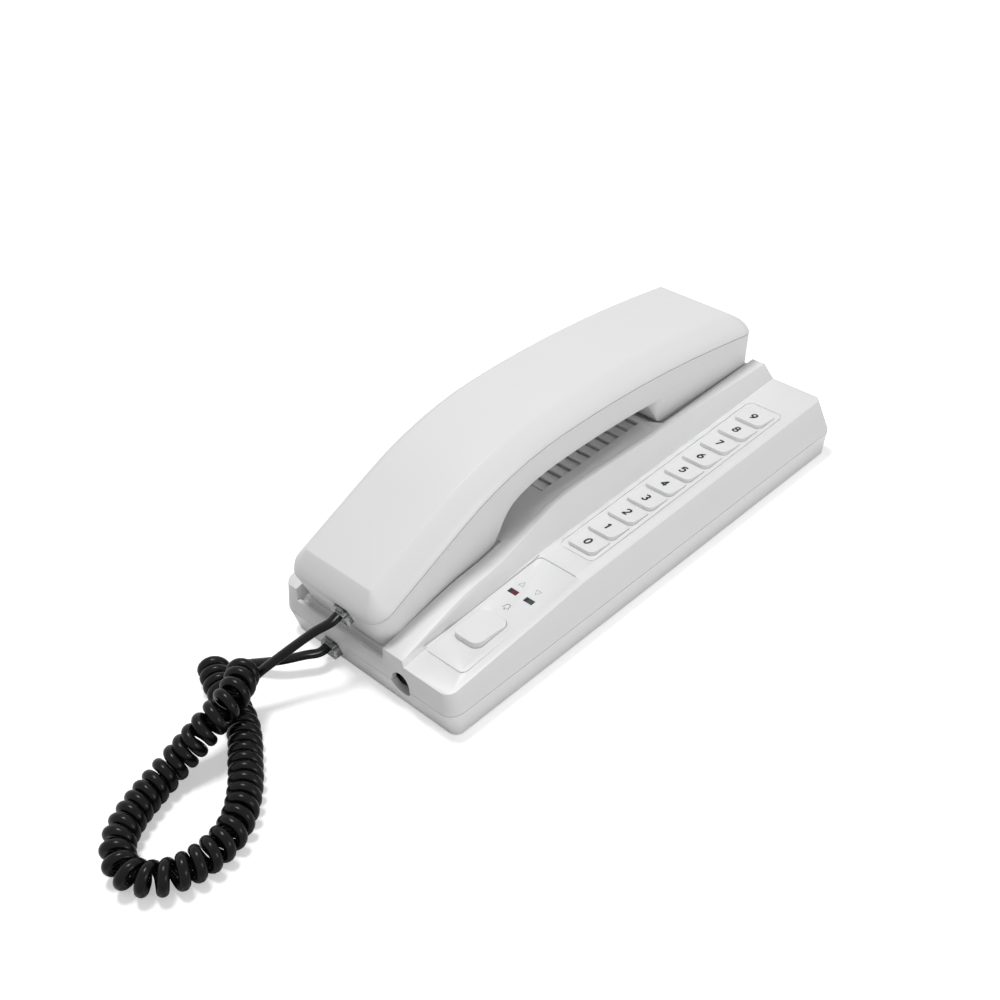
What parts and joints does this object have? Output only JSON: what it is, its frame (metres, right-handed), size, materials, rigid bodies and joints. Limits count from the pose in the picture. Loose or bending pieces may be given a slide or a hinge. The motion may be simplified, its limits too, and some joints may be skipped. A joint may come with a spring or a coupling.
{
  "type": "wall telephone",
  "caption": "Slimline wall telephone: a handset lying in a cradle beside a row of digit keys and a call button, with a curly cord between two modular plugs.",
  "frame": {"origin": "middle of the back of the base, on the wall plane", "axes": "+Z out of the wall, +Y towards the top end of the telephone, +X towards the side with the keys"},
  "size_m": [0.0999, 0.3397, 0.0704],
  "materials": {
    "white_plastic": "satin white moulding",
    "key_plastic": "satin white keys",
    "grey_rubber": "matte",
    "board": "solder-masked laminate",
    "black_plastic": "matte black",
    "steel": "zinc plated",
    "clear_plastic": "clear moulding",
    "red_lens": "dark red diffuser",
    "green_lens": "dark green diffuser",
    "cord": "glossy black jacket"
  },
  "bodies": {
    "base": {"front_housing": "white_plastic", "rear_cover": "white_plastic", "rubber_feet": "grey_rubber", "housing_screws": "steel", "circuit_board": "board", "keypad_mat": "grey_rubber", "call_button_pad": "grey_rubber", "led_transmit": "red_lens", "led_receive": "green_lens", "ringer_speaker": "black_plastic", "hook_spring": "steel", "hook_switch": "black_plastic", "dc_jack": "black_plastic", "base_cord_jack": "black_plastic", "base_plug": "clear_plastic", "base_lead": "cord", "curly_cord": "cord", "handset_lead": "cord"},
    "handset": {"handset_upper_shell": "white_plastic", "handset_lower_shell": "white_plastic", "handset_screws": "steel", "handset_weight": "steel", "earpiece_speaker": "black_plastic", "microphone": "steel", "handset_cord_jack": "black_plastic", "handset_plug": "clear_plastic"},
    "key_0": {"key_0": "key_plastic"},
    "key_1": {"key_1": "key_plastic"},
    "key_2": {"key_2": "key_plastic"},
    "key_3": {"key_3": "key_plastic"},
    "key_4": {"key_4": "key_plastic"},
    "key_5": {"key_5": "key_plastic"},
    "key_6": {"key_6": "key_plastic"},
    "key_7": {"key_7": "key_plastic"},
    "key_8": {"key_8": "key_plastic"},
    "key_9": {"key_9": "key_plastic"},
    "call_button": {"call_button": "key_plastic"},
    "hook_plunger": {"hook_plunger": "white_plastic"}
  },
  "joints": [
    {"name": "handset_lift", "type": "slide", "parent": "base", "child": "handset", "axis": [0, 0, 1], "range_m": [0, 0.06]},
    {"name": "hook_rise", "type": "slide", "parent": "base", "child": "hook_plunger", "axis": [0, 0, 1], "range_m": [0, 0.003], "deforming": ["hook_spring"]},
    {"name": "key_0_press", "type": "slide", "parent": "base", "child": "key_0", "axis": [0, 0, -1], "range_m": [0, 0.0012], "stiffness_N_per_m": 400, "springref_m": -0.0003},
    {"name": "key_1_press", "type": "slide", "parent": "base", "child": "key_1", "axis": [0, 0, -1], "range_m": [0, 0.0012], "stiffness_N_per_m": 400, "springref_m": -0.0003},
    {"name": "key_2_press", "type": "slide", "parent": "base", "child": "key_2", "axis": [0, 0, -1], "range_m": [0, 0.0012], "stiffness_N_per_m": 400, "springref_m": -0.0003},
    {"name": "key_3_press", "type": "slide", "parent": "base", "child": "key_3", "axis": [0, 0, -1], "range_m": [0, 0.0012], "stiffness_N_per_m": 400, "springref_m": -0.0003},
    {"name": "key_4_press", "type": "slide", "parent": "base", "child": "key_4", "axis": [0, 0, -1], "range_m": [0, 0.0012], "stiffness_N_per_m": 400, "springref_m": -0.0003},
    {"name": "key_5_press", "type": "slide", "parent": "base", "child": "key_5", "axis": [0, 0, -1], "range_m": [0, 0.0012], "stiffness_N_per_m": 400, "springref_m": -0.0003},
    {"name": "key_6_press", "type": "slide", "parent": "base", "child": "key_6", "axis": [0, 0, -1], "range_m": [0, 0.0012], "stiffness_N_per_m": 400, "springref_m": -0.0003},
    {"name": "key_7_press", "type": "slide", "parent": "base", "child": "key_7", "axis": [0, 0, -1], "range_m": [0, 0.0012], "stiffness_N_per_m": 400, "springref_m": -0.0003},
    {"name": "key_8_press", "type": "slide", "parent": "base", "child": "key_8", "axis": [0, 0, -1], "range_m": [0, 0.0012], "stiffness_N_per_m": 400, "springref_m": -0.0003},
    {"name": "key_9_press", "type": "slide", "parent": "base", "child": "key_9", "axis": [0, 0, -1], "range_m": [0, 0.0012], "stiffness_N_per_m": 400, "springref_m": -0.0003},
    {"name": "call_press", "type": "slide", "parent": "base", "child": "call_button", "axis": [0, 0, -1], "range_m": [0, 0.0015], "stiffness_N_per_m": 500, "springref_m": -0.0003}
  ],
  "couplings": [
    {"joint": "hook_rise", "follows": "handset_lift", "ratio": 0.05}
  ]
}
